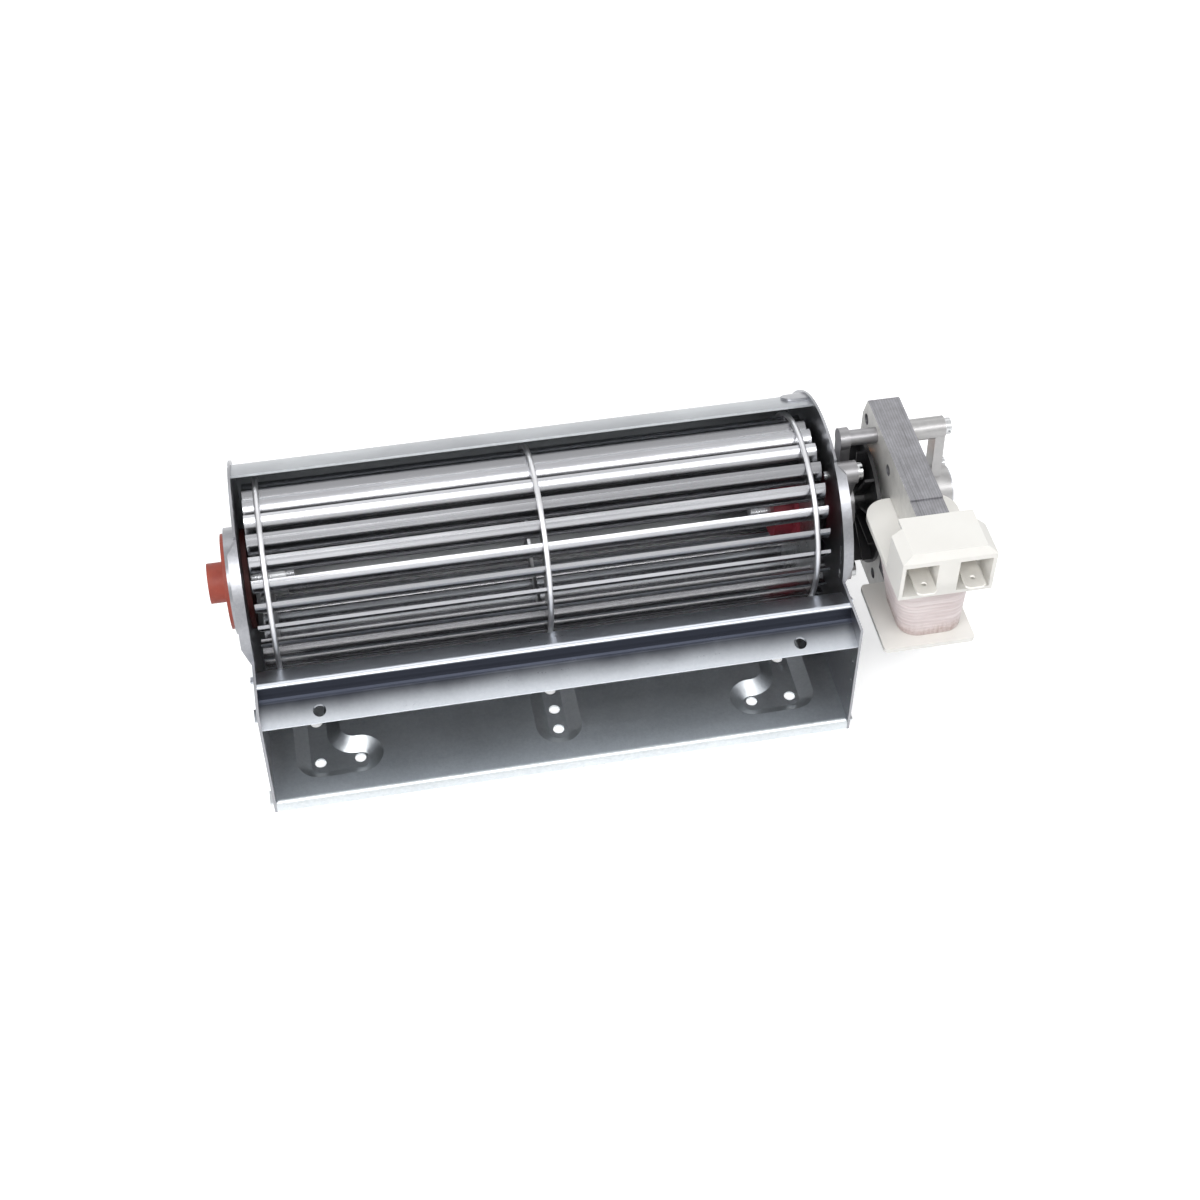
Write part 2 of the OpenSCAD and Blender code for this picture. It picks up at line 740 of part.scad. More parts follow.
// C-shaped stack with the stator bore, bridge notches and its screw and spare holes
module stator_core() {
    h = stack_h / 2;
    color([0.5, 0.5, 0.52]) at_axis() slab(stack_x0, stack_x1) difference() {
        polygon([[core_y1, h], [stack_back - 3, h], [stack_back, 23], [stack_back, -23],
                 [stack_back - 3, -h], [core_y1, -h], [core_y1, leg_h - h], [-16.8, leg_h - h],
                 [-16.8, h - leg_h], [core_y1, h - leg_h]]);
        circle(d = bore_d);
        for (s = [-1, 1]) translate([s * (bore_d / 2 + 1.4), 0]) circle(1.6, $fn = 32);
        for (y = hole_ys, s = [-1, 1]) translate([y, s * hole_z]) circle(1.9, $fn = 32);
        for (s = [-1, 1]) translate([pillar_y, s * pillar_z]) circle(screw_r, $fn = 32);
        for (l = shade_loops, a = [l[1], l[2], l[1] + 180, l[2] + 180])
            rotate(a) translate([l[0], 0]) circle(0.85, $fn = 24);
    }
}

// straight stack through the coil, closing the C; its lower front corner is cut
module coil_core() {
    h = stack_h / 2 - 0.1;
    color([0.46, 0.46, 0.48]) at_axis() slab(stack_x0, stack_x1)
        polygon([[core_y0, h - 0.4], [core_y1, h - 0.4], [core_y1, -h], [core_y0 + core_cut, -h],
                 [core_y0, core_cut - h]]);
}

// copper loops around the pole tips: legs through the stack, cross bars on its two faces
module shading_rings() {
    xa = stack_x0 - 0.9;
    xb = stack_x1 + 0.9;
    color([0.72, 0.42, 0.27]) at_axis() for (l = shade_loops, k = [0, 180]) {
        p = l[0] * [cos(l[1] + k), sin(l[1] + k)];
        q = l[0] * [cos(l[2] + k), sin(l[2] + k)];
        u = (q - p) / norm(q - p);
        for (e = [p, q]) rod(xa, xb, 0.75, e[0], e[1]);
        for (x = [xa, xb]) translate([x, p[0] - 0.85 * u[0], p[1] - 0.85 * u[1]])
            rotate([atan2(u[1], u[0]), 0, 0]) rotate([-90, 0, 0])
                cylinder(h = norm(q - p) + 1.7, r = 0.85);
    }
}

// white bobbin with its lower flange, tube, upper flange and terminal block in one moulding
module bobbin() {
    hw = flange_w / 2;
    color([0.93, 0.92, 0.88]) at_axis() difference() {
        union() {
            translate([coil_x, coil_y, flange_lo])
                linear_extrude(wind_lo - flange_lo) round_rect(flange_w, flange_y, 1.5);
            translate([coil_x, core_cy, wind_lo - 0.1])
                linear_extrude(wind_hi - wind_lo + 0.2) square([tube_x, tube_y], center = true);
            translate([coil_x, 0, wind_hi]) linear_extrude(flange_hi - wind_hi) {
                for (s = [-1, 1]) translate([s * (hw - 8), flange_back - 8]) circle(8);
                translate([8 - hw, flange_back - 12]) square([flange_w - 16, 12]);
                translate([-hw, block_front]) square([flange_w, flange_back - 8 - block_front]);
            }
            block([coil_x - hw, block_front, wind_hi], [coil_x + hw, block_back, block_top]);
        }
        block([stack_x0 - core_gap, core_y0 - core_gap, -40],
              [stack_x1 + core_gap, core_y1 + core_gap, 40]);
        for (m = [0, 1]) translate([coil_x, 0, 0]) mirror([m, 0, 0]) {
            block([recess_mid, block_front - 1, recess_lo],
                  [hw - recess_side, term_root - 1.4, recess_hi]);
            block([term_dx / 2 - term_w / 2, term_root - 2.4, term_z - term_t / 2],
                  [term_dx / 2 + term_w / 2, term_root, term_z + term_t / 2]);
        }
    }
}

// a winding shell around the bobbin tube
module winding(w, d, r, w_in, d_in, r_in) {
    translate([coil_x, coil_y, wind_lo]) linear_extrude(wind_hi - wind_lo) difference() {
        round_rect(w, d, r);
        if (r_in > 0) round_rect(w_in, d_in, r_in);
    }
}

module coil_winding() {
    color([0.72, 0.4, 0.22]) at_axis() difference() {
        winding(coil_w - 2 * tape_t, coil_d - 2 * tape_t, 6 - tape_t, 0, 0, 0);
        translate([coil_x, core_cy, wind_lo - 1])
            linear_extrude(wind_hi - wind_lo + 2) square([tube_x, tube_y], center = true);
    }
}

module winding_tape() {
    color([0.88, 0.83, 0.82]) at_axis()
        winding(coil_w, coil_d, 6, coil_w - 2 * tape_t, coil_d - 2 * tape_t, 6 - tape_t);
}

// lid over the terminal block with bevelled edges; its back reaches over the core end
module terminal_lid() {
    hw = flange_w / 2;
    color([0.95, 0.94, 0.91]) at_axis() difference() {
        union() {
            intersection() {
                translate([coil_x, block_back, 0]) rotate([90, 0, 0])
                    linear_extrude(block_back - block_front)
                        polygon([[-hw, block_top], [hw, block_top], [hw - 3.1, lid_top],
                                 [3.1 - hw, lid_top]]);
                slab(coil_x - hw, coil_x + hw)
                    polygon([[block_front, block_top], [block_back, block_top],
                             [block_back, lid_top], [block_front + 1.4, lid_top]]);
            }
            block([coil_x - hw + 3.1, block_back - 0.5, stack_h / 2 + 0.1],
                  [coil_x + hw - 3.1, lid_back, lid_top]);
        }
        block([stack_x0 - core_gap, core_y0 - core_gap, 20],
              [stack_x1 + core_gap, 0, stack_h / 2 + 0.1]);
    }
}

module blade_terminals() {
    color([0.8, 0.79, 0.74]) at_axis() for (s = [-1, 1])
        translate([coil_x + s * term_dx / 2, 0, term_z - term_t / 2]) linear_extrude(term_t)
            difference() {
                polygon([[-term_w / 2, term_root], [-term_w / 2, term_tip + 1],
                         [1.2 - term_w / 2, term_tip], [term_w / 2 - 1.2, term_tip],
                         [term_w / 2, term_tip + 1], [term_w / 2, term_root]]);
                translate([0, term_tip + 4]) circle(0.9, $fn = 24);
            }
}

scroll_housing();
tongue_sheet();
left_end_plate();
right_end_plate();
bearing_mount();
idle_bearing();
idle_shaft();
impeller_blades();
left_end_disc();
right_end_disc();
middle_support_ring();
left_wire_ring();
middle_wire_ring();
right_wire_ring();
drive_hub();
motor_shaft();
rotor_core();
rotor_cage();
rotor_spacer();
thrust_washers();
cooling_fan();
front_bracket();
rear_bracket();
front_bearing();
rear_bearing();
bearing_cap();
bearing_cap_screws();
bracket_screws();
plate_screws();
stator_core();
coil_core();
shading_rings();
bobbin();
coil_winding();
winding_tape();
terminal_lid();
blade_terminals();
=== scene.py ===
"""Studio scene of the tangential oven fan: materials, small details, lights and camera."""
import math
import random

import bpy
from mathutils import Matrix, Vector


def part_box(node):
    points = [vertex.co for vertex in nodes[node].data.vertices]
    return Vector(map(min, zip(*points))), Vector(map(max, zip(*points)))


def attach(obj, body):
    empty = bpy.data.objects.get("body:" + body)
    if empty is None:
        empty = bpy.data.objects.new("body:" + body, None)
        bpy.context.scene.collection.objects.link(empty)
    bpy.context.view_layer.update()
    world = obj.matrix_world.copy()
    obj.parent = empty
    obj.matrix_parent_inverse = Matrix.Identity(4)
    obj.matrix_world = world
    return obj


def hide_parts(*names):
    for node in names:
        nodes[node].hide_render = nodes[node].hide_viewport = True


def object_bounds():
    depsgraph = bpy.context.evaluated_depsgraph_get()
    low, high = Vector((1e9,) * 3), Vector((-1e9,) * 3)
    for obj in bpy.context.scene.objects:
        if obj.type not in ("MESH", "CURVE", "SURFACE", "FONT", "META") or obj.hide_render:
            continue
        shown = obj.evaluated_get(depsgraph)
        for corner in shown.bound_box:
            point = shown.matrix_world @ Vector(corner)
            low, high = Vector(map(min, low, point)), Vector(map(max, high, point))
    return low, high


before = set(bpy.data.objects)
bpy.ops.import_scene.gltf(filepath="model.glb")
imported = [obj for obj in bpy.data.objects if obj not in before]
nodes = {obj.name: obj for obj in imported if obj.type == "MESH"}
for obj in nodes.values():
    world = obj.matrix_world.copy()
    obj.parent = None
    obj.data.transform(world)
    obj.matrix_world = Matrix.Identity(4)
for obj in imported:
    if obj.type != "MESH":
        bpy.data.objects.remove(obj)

cad_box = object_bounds()
scene = bpy.context.scene
scene.view_settings.view_transform = "Standard"

# Camera: the photograph's viewing angle, for a square frame; metres and radians
CAM_POS = Vector((-62.85, -411.07, 498.03)) * 0.001
CAM_YAW = 0.18757
CAM_PITCH = 0.81905
CAM_ROLL = 0.00291
CAM_LENS = 59.06
CAM_SENSOR = 36.0
CAM_NEAR = 0.01


def make_camera():
    data = bpy.data.cameras.new("camera")
    data.lens = CAM_LENS
    data.sensor_width = CAM_SENSOR
    data.clip_start = CAM_NEAR
    obj = bpy.data.objects.new("camera", data)
    scene.collection.objects.link(obj)
    fwd = Vector((math.sin(CAM_YAW) * math.cos(CAM_PITCH),
                  math.cos(CAM_YAW) * math.cos(CAM_PITCH), -math.sin(CAM_PITCH)))
    flat = Vector((math.cos(CAM_YAW), -math.sin(CAM_YAW), 0.0))
    rise = flat.cross(fwd)
    right = math.cos(CAM_ROLL) * flat + math.sin(CAM_ROLL) * rise
    up = -math.sin(CAM_ROLL) * flat + math.cos(CAM_ROLL) * rise
    turn = Matrix((right, up, -fwd)).transposed().to_4x4()
    obj.matrix_world = Matrix.Translation(CAM_POS) @ turn
    scene.camera = obj


make_camera()


class Graph:
    """A node tree and the few node calls that the materials, the floor and the world share."""

    def __init__(self, tree):
        self.tree = tree

    def put(self, socket, value):
        if hasattr(value, "is_output"):
            self.tree.links.new(value, socket)
        else:
            socket.default_value = value

    def node(self, kind, sockets=None, **settings):
        """A new node; settings are its options, sockets its inputs' values or links."""
        node = self.tree.nodes.new("ShaderNode" + kind)
        for key, value in settings.items():
            setattr(node, key, value)
        for key, value in (sockets or {}).items():
            self.put(node.inputs[key], value)
        return node

    def math(self, op, a, b=0.0):
        return self.node("Math", {0: a, 1: b}, operation=op).outputs[0]

    def span(self, value, low, high, to_low=0.0, to_high=1.0, kind="LINEAR"):
        """A value from low to high, moved to the range from to_low to to_high."""
        ends = {"Value": value, "From Min": low, "From Max": high,
                "To Min": to_low, "To Max": to_high}
        return self.node("MapRange", ends, interpolation_type=kind).outputs["Result"]

    def smooth(self, value, low, high, to_low=0.0, to_high=1.0):
        """An eased step from to_low at low to to_high at high."""
        return self.span(value, low, high, to_low, to_high, "SMOOTHSTEP")

    def seen(self, *rays):
        """1 for the named kinds of ray, 0 for all others."""
        path = self.node("LightPath")
        value = path.outputs[rays[0]]
        for ray in rays[1:]:
            value = self.math("MAXIMUM", value, path.outputs[ray])
        return value


# Noise values lie mostly between these two
NOISE_LOW = 0.3
NOISE_HIGH = 0.7


class Shade(Graph):
    """A Principled material with object coordinates and layers of relief."""

    def __init__(self, name, color, rough, metal=0.0, **sockets):
        self.mat = bpy.data.materials.new(name)
        self.mat.use_nodes = True
        super().__init__(self.mat.node_tree)
        self.bsdf = self.tree.nodes["Principled BSDF"]
        self.set("Base Color", (*color, 1.0))
        self.set("Roughness", rough)
        self.set("Metallic", metal)
        for key, value in sockets.items():
            self.set(key.replace("_", " "), value)
        self.coord = self.node("TexCoord").outputs["Object"]
        self.height = None

    def set(self, socket, value):
        self.put(self.bsdf.inputs[socket], value)

    def noise(self, scale, detail, rough, stretch=(1, 1, 1)):
        """Noise with scale features a metre; an axis with a small stretch gets long streaks."""
        space = self.node("Mapping", {"Scale": stretch, "Vector": self.coord}).outputs["Vector"]
        sockets = {"Scale": scale, "Detail": detail, "Roughness": rough, "Vector": space}
        return self.node("TexNoise", sockets).outputs["Fac"]

    def spread(self, noise, low=0.0, high=1.0):
        """A noise value spread from low to high."""
        return self.span(noise, NOISE_LOW, NOISE_HIGH, low, high)

    def lines(self, scale, axis, distortion=0.0):
        """Parallel lines across one axis; scale is lines per metre over two pi."""
        sockets = {"Scale": scale, "Distortion": distortion, "Detail Scale": 1.5,
                   "Vector": self.coord}
        return self.node("TexWave", sockets, wave_type="BANDS",
                         bands_direction=axis).outputs["Fac"]

    def blend(self, factor, a, b):
        """Colour a where factor is 0, colour b where it is 1."""
        sockets = {"Factor": factor}
        for slot, value in ((6, a), (7, b)):
            sockets[slot] = value if hasattr(value, "is_output") else (*value, 1.0)
        return self.node("Mix", sockets, data_type="RGBA").outputs[2]

    def mottle(self, noise, color, darker):
        """A colour that goes darker by that factor with a noise."""
        return self.blend(self.spread(noise), tuple(c * darker for c in color), color)

    def facing(self, axis):
        """The part of the surface's direction along one axis of the object, from -1 to 1."""
        normal = self.node("NewGeometry").outputs["Normal"]
        turned = self.node("VectorTransform", {"Vector": normal}, vector_type="NORMAL",
                           convert_from="WORLD", convert_to="OBJECT").outputs["Vector"]
        return self.node("SeparateXYZ", {"Vector": turned}).outputs[axis]

    def place(self, axis):
        """The place along one axis of the object, in metres."""
        return self.node("SeparateXYZ", {"Vector": self.coord}).outputs[axis]

    def from_axis(self):
        """The distance from the drum's axis, and how far the surface faces away from it."""
        dy = self.math("SUBTRACT", self.place("Y"), AXIS_Y)
        dz = self.math("SUBTRACT", self.place("Z"), AXIS_Z)
        square = self.math("ADD", self.math("MULTIPLY", dy, dy), self.math("MULTIPLY", dz, dz))
        radius = self.math("SQRT", square)
        out = self.math("ADD", self.math("MULTIPLY", dy, self.facing("Y")),
                        self.math("MULTIPLY", dz, self.facing("Z")))
        return radius, self.math("DIVIDE", out, radius)

    def bump(self, height, depth, strength):
        """Adds one layer of relief; depth is its real height in metres."""
        sockets = {"Strength": strength, "Distance": depth, "Height": height}
        if self.height is not None:
            sockets["Normal"] = self.height
        self.height = self.node("Bump", sockets).outputs["Normal"]
        self.set("Normal", self.height)


# The drum's axis, and where painted shade lies (in the tongue's bend, on the sides of the scroll
# and the blades towards the drum, on the silicone's end and at the tape's foot) and where the
# scroll's top outside goes darker, in metres
AXIS_Y = 0.0326
AXIS_Z = 0.047
BEND_SHADE_START_Z = 0.0396
BEND_SHADE_FULL_Z = 0.0429
BEND_SHADE_WANDER = 0.0003
BEND_SHADE_END_Y = -0.0142
BEND_SHADE_EDGE = 0.0006
SCROLL_RADIUS = 0.050
SCROLL_FADE = 0.008
INNER_SHADE_BELOW_Z = (0.070, 0.060)
DARK_TOP_ABOVE_Z = (0.050, 0.070)
BLADE_SHADE_RADII = (0.0212, 0.0243)
INNER_SHADOW_X = -0.0931
INNER_SHADOW_EDGE = 0.0005
TAPE_SHADE_Z = (0.0335, 0.0415)
TAPE_SHADE_WANDER = 0.0022


def painted_bend_shade(s, skin, cloud, painted_shade_color):
    """Painted shade: the bend of the tongue goes dark."""
    # Painted shade: the colour goes dark above a wavering height, in front of a given depth.
    height = s.math("ADD", s.place("Z"), s.spread(cloud, -BEND_SHADE_WANDER, BEND_SHADE_WANDER))
    bend_shade_mask = s.math("MULTIPLY", s.smooth(height, BEND_SHADE_START_Z, BEND_SHADE_FULL_Z),
                 s.smooth(s.place("Y"), BEND_SHADE_END_Y + BEND_SHADE_EDGE, BEND_SHADE_END_Y))
    return s.blend(bend_shade_mask, skin, painted_shade_color)


def scroll_inner_shade_and_top_tone(s, skin, cloud, painted_inner_shade, top_outside_tone):
    """Painted shade on the side of the scroll towards the drum, and a darker, mottled top
    outside.
    """
    radius, out = s.from_axis()
    inner = s.math("MULTIPLY", s.smooth(radius, SCROLL_RADIUS, SCROLL_RADIUS - SCROLL_FADE),
                   s.smooth(out, 0.2, -0.3))
    # Painted shade on the side that faces the drum, below the top.
    skin = s.blend(s.math("MULTIPLY", inner, s.smooth(s.place("Z"), *INNER_SHADE_BELOW_Z)), skin, painted_inner_shade)
    # The top outside goes darker, mottled by the cloud noise.
    outer = s.math("MULTIPLY", s.smooth(out, 0.2, 0.7), s.smooth(s.place("Z"), *DARK_TOP_ABOVE_Z))
    return s.blend(s.math("MULTIPLY", outer, s.span(cloud, 0.35, 0.65, 0.6, 1.0)), skin, top_outside_tone)


def galvanised(name, dark, light, rough, shade_and_tone=None, shade_and_tone_colors=()):
    """Galvanised strip: fine zinc grain, rolling lines along X and slight waviness."""
    s = Shade(name, light, rough, metal=1.0)
    cloud = s.noise(26, 4, 0.6)
    speck = s.noise(900, 3, 0.75)
    lines = s.noise(900, 2, 0.6, (0.03, 1, 1))
    tone = s.math("ADD", s.math("MULTIPLY", cloud, 0.45), s.math("MULTIPLY", speck, 0.55))
    skin = s.blend(s.span(tone, 0.35, 0.65), dark, light)
    # An optional function lays painted shade, and on the scroll a darker top outside, over the
    # colour.
    if shade_and_tone:
        skin = shade_and_tone(s, skin, cloud, *shade_and_tone_colors)
    s.set("Base Color", skin)
    s.set("Roughness", s.math("ADD", s.spread(tone, rough - 0.03, rough + 0.05),
                              s.spread(lines, -0.03, 0.03)))
    s.bump(lines, depth=0.000006, strength=0.5)
    s.bump(s.noise(12, 2, 0.4), depth=0.0004, strength=0.16)
    return s.mat


def rolled_aluminium(name, color, rough, painted_shade_color=None):
    """Rolled strip, streaky along X and unevenly tarnished; the optional last colour is painted
    shade on the blades' sides towards the drum's axis.
    """
    s = Shade(name, color, rough, metal=1.0)
    streaks = s.noise(1400, 3, 0.65, (0.02, 1, 1))
    cloud = s.noise(60, 3, 0.5, (0.3, 1, 1))
    tarnish = s.noise(55, 2, 0.6, (0.06, 1, 1))
    skin = s.mottle(cloud, color, 0.9)
    skin = s.blend(s.span(tarnish, 0.42, 0.62), tuple(c * 0.62 for c in color), skin)
    if painted_shade_color:
        # Painted shade: the blades go darker towards the drum's axis and on their sides that
        # face it.
        radius, out = s.from_axis()
        unshaded_part = s.math("MULTIPLY", s.smooth(radius, *BLADE_SHADE_RADII), s.smooth(out, -0.1, 0.3))
        skin = s.blend(unshaded_part, painted_shade_color, skin)
    s.set("Base Color", skin)
    s.set("Roughness", s.math("ADD", s.spread(streaks, rough - 0.05, rough + 0.05),
                              s.spread(cloud, -0.03, 0.05)))
    s.bump(streaks, depth=0.000008, strength=0.5)
    return s.mat


def cast_metal(name, color, rough):
    """Die-cast alloy: mottled, with a fine grainy skin."""
    s = Shade(name, color, rough, metal=0.85)
    mottled = s.noise(260, 4, 0.6)
    grain = s.noise(2600, 2, 0.6)
    s.set("Base Color", s.mottle(mottled, color, 0.82))
    s.set("Roughness", s.spread(mottled, rough - 0.06, rough + 0.1))
    s.bump(grain, depth=0.00002, strength=0.5)
    s.bump(mottled, depth=0.00006, strength=0.4)
    return s.mat


def turned_metal(name, color, rough, metal=1.0):
    """Ground or drawn metal with rings round the X axis."""
    s = Shade(name, color, rough, metal)
    rings = s.noise(3000, 2, 0.6, (1, 0.05, 0.05))
    cloud = s.noise(150, 3, 0.5)
    s.set("Base Color", s.mottle(cloud, color, 0.88))
    s.set("Roughness", s.math("ADD", s.spread(rings, rough - 0.05, rough + 0.07),
                              s.spread(cloud, 0.0, 0.05)))
    s.bump(rings, depth=0.000008, strength=0.5)
    return s.mat


def silicone(name, color, deep, painted_shadow_color=None):
    """Matt silicone rubber with a dusty bloom; the optional last colour is painted shadow on its
    end inside the end plate.
    """
    s = Shade(name, color, 0.5, Subsurface_Weight=0.06, Specular_IOR_Level=0.4)
    s.set("Subsurface Radius", (0.004, 0.0012, 0.0008))
    cloud = s.noise(180, 4, 0.6)
    dust = s.noise(1500, 3, 0.7)
    skin = s.blend(s.spread(cloud), deep, color)
    if painted_shadow_color:
        # Painted shadow: the end inside the plate goes dark.
        skin = s.blend(s.smooth(s.place("X"), INNER_SHADOW_X, INNER_SHADOW_X + INNER_SHADOW_EDGE), skin, painted_shadow_color)
    s.set("Base Color", skin)
    s.set("Roughness", s.math("ADD", s.spread(cloud, 0.42, 0.56),
                              s.span(dust, 0.4, 0.7, 0.0, 0.12)))
    s.bump(dust, depth=0.00003, strength=0.5)
    return s.mat


def moulded(name, color, shade, rough):
    """Moulded plastic: fine eroded skin, faint flow marks."""
    s = Shade(name, color, rough, Specular_IOR_Level=0.5)
    flow = s.noise(70, 3, 0.5, (1, 1, 0.4))
    skin = s.noise(2400, 2, 0.6)
    s.set("Base Color", s.blend(s.spread(flow), shade, color))
    s.set("Roughness", s.math("ADD", s.spread(flow, rough - 0.05, rough + 0.07),
                              s.spread(skin, -0.03, 0.03)))
    s.bump(skin, depth=0.00002, strength=0.5)
    s.bump(flow, depth=0.0001, strength=0.3)
    return s.mat


# The pitch of the lines on the stack, as a wave texture's scale, and the colour between sheets
SHEET_PITCH = 0.0009
SHEET_LINES = 2 * math.pi / SHEET_PITCH / 20.0
SHEET_GAP = (0.07, 0.07, 0.075)


def laminated(name, color, edge, bright):
    """Punched stack: uneven sheet edges along X; the two X faces get a pale, mottled colour,
    which is painted light.
    """
    s = Shade(name, color, 0.42, metal=0.8)
    face = s.span(s.math("ABSOLUTE", s.facing("X")), 0.5, 0.8)
    uneven = s.noise(1500, 2, 0.7, (1, 0.015, 0.015))
    scale = s.noise(240, 4, 0.65)
    grain = s.noise(700, 3, 0.6, (1, 1, 0.12))
    sheets = s.lines(SHEET_LINES, "X", 1.2)
    deep = s.math("MAXIMUM", s.span(uneven, 0.3, 0.48, 1.0, 0.0),
                  s.span(sheets, 0.0, 0.5, 0.5, 0.0))
    gap = s.math("MULTIPLY", deep, s.math("SUBTRACT", 1.0, face))
    tone = s.blend(s.span(scale, 0.35, 0.7), color, edge)
    tone = s.blend(s.math("MULTIPLY", gap, 0.55), tone, SHEET_GAP)
    # Painted light: the two X faces get a pale colour.
    lit_faces = s.blend(s.span(scale, 0.35, 0.75), bright, tuple(c * 0.82 for c in bright))
    s.set("Base Color", s.blend(face, tone, lit_faces))
    s.set("Metallic", s.span(face, 0.0, 1.0, 0.7, 0.3))
    s.set("Roughness", s.spread(grain, 0.36, 0.52))
    s.bump(uneven, depth=0.00005, strength=0.6)
    s.bump(s.math("SUBTRACT", 1.0, gap), depth=0.00005, strength=0.5)
    s.bump(grain, depth=0.00001, strength=0.4)
    return s.mat


def copper_wire(name, color):
    """Enamelled wire in level rows."""
    s = Shade(name, color, 0.3, metal=1.0)
    cloud = s.noise(300, 3, 0.6)
    s.set("Base Color", s.mottle(cloud, color, 0.7))
    s.set("Roughness", s.spread(cloud, 0.24, 0.4))
    s.bump(s.lines(260.0, "Z"), depth=0.0001, strength=0.6)
    return s.mat


def wrapped_tape(name, color, shade, painted_foot_shade):
    """Glossy polyester tape over the turns: rows of wire show through, with fine wrinkles; the
    last colour is painted shade towards the tape's foot.
    """
    s = Shade(name, color, 0.34, Specular_IOR_Level=0.5, Coat_Weight=0.25, Coat_Roughness=0.2)
    rows = s.noise(700, 2, 0.6, (0.06, 0.06, 1))
    weave = s.noise(1300, 2, 0.6, (1, 1, 0.15))
    cloud = s.noise(120, 3, 0.55)
    # Painted shade: the tape goes darker towards its foot at the lower flange.
    height = s.math("ADD", s.place("Z"), s.spread(cloud, -TAPE_SHADE_WANDER, TAPE_SHADE_WANDER))
    above = s.smooth(height, *TAPE_SHADE_Z)
    wires = s.math("MULTIPLY", s.span(rows, 0.42, 0.6, 0.55, 0.0),
                   s.span(cloud, 0.3, 0.6, 0.4, 1.0))
    tone = s.blend(wires, color, shade)
    shaded_foot = s.blend(s.span(weave, 0.35, 0.65, 0.25, 0.8), tone, painted_foot_shade)
    s.set("Base Color", s.blend(above, shaded_foot, tone))
    s.set("Roughness", s.spread(cloud, 0.28, 0.45))
    s.bump(rows, depth=0.00016, strength=0.5)
    s.bump(weave, depth=0.00004, strength=0.5)
    return s.mat


finish = {
    # The scroll's first extra colour is painted shade on its side towards the drum; the second
    # darkens its top outside.
    "sheet": galvanised("galvanised_sheet", (0.55, 0.58, 0.60), (0.67, 0.70, 0.72), 0.36,
                        scroll_inner_shade_and_top_tone, ((0.38, 0.39, 0.40), (0.33, 0.34, 0.36))),
    # The tongue is a lighter, bluer copy of the galvanised sheet, painted light, with painted
    # shade in its bend.
    "tongue": galvanised("galvanised_tongue_painted_light", (0.65, 0.685, 0.74), (0.74, 0.775, 0.825), 0.31,
                         painted_bend_shade, ((0.025, 0.028, 0.038),)),
    # The end plates are a darker copy of the galvanised sheet: painted shade.
    "plate": galvanised("galvanised_plate_painted_shade", (0.29, 0.295, 0.315), (0.37, 0.375, 0.395), 0.32),
    # The blades' last colour is painted shade on their sides towards the drum's axis.
    "blade": rolled_aluminium("drum_blades", (0.53, 0.535, 0.56), 0.24, (0.42, 0.42, 0.435)),
    "disc": rolled_aluminium("drum_discs", (0.60, 0.61, 0.62), 0.32),
    "wire": turned_metal("ring_wire", (0.76, 0.76, 0.78), 0.4),
    # The bearing mount's last colour is painted shadow on its end inside the plate.
    "orange": silicone("orange_silicone", (0.36, 0.078, 0.050), (0.27, 0.052, 0.035),
                       (0.09, 0.016, 0.013)),
    "red": silicone("dark_red_silicone", (0.27, 0.028, 0.045), (0.17, 0.017, 0.028)),
    # The front bracket is a darker copy of the rear bracket's die-cast: painted shade.
    "cast": cast_metal("die_cast_front_painted_shade", (0.34, 0.335, 0.345), 0.36),
    "pale": cast_metal("die_cast_rear", (0.44, 0.435, 0.435), 0.38),
    "steel": turned_metal("ground_steel", (0.50, 0.51, 0.53), 0.26),
    "screw": turned_metal("zinc_plated", (0.58, 0.59, 0.60), 0.24),
    "bronze": turned_metal("sintered_bronze", (0.55, 0.38, 0.2), 0.42),
    # The stack's last colour is painted light on its two X faces.
    "stack": laminated("lamination_stack", (0.31, 0.31, 0.33), (0.24, 0.238, 0.25),
                       (0.68, 0.67, 0.645)),
    "copper": copper_wire("copper", (0.78, 0.38, 0.2)),
    "black": moulded("black_plastic", (0.022, 0.022, 0.024), (0.014, 0.014, 0.015), 0.36),
    "white": moulded("white_plastic", (0.78, 0.768, 0.735), (0.74, 0.725, 0.69), 0.42),
    # The tape's last colour is painted shade at its foot.
    "tape": wrapped_tape("winding_tape", (0.70, 0.625, 0.62), (0.50, 0.40, 0.40),
                         (0.34, 0.235, 0.205)),
    "tin": turned_metal("tinned_brass", (0.86, 0.84, 0.80), 0.42, metal=0.6),
}

LOOK = {
    "sheet": ["scroll_housing"],
    "tongue": ["tongue_sheet"],
    "plate": ["left_end_plate", "right_end_plate"],
    "orange": ["bearing_mount"],
    "red": ["drive_hub"],
    "blade": ["impeller_blades"],
    "disc": ["left_end_disc", "right_end_disc", "middle_support_ring", "rotor_cage"],
    "wire": ["left_wire_ring", "middle_wire_ring", "right_wire_ring"],
    "steel": ["idle_shaft", "motor_shaft", "bearing_cap"],
    "bronze": ["idle_bearing", "front_bearing", "rear_bearing", "rotor_spacer"],
    "stack": ["stator_core", "coil_core", "rotor_core"],
    "cast": ["front_bracket"],
    "pale": ["rear_bracket"],
    "screw": ["bearing_cap_screws", "bracket_screws", "plate_screws"],
    "copper": ["shading_rings", "coil_winding"],
    "white": ["bobbin", "terminal_lid"],
    "tape": ["winding_tape"],
    "tin": ["blade_terminals"],
    "black": ["cooling_fan", "thrust_washers"],
}

for look, names in LOOK.items():
    for name in names:
        mesh = nodes[name].data
        mesh.materials.clear()
        mesh.materials.append(finish[look])

# Edges sharper than this stay sharp in the shading; the scroll is bent from fewer faces
SHARP = math.radians(32)
SHARP_SCROLL = math.radians(40)
for name, obj in nodes.items():
    for poly in obj.data.polygons:
        poly.use_smooth = True
    obj.data.set_sharp_from_angle(angle=SHARP_SCROLL if name == "scroll_housing" else SHARP)

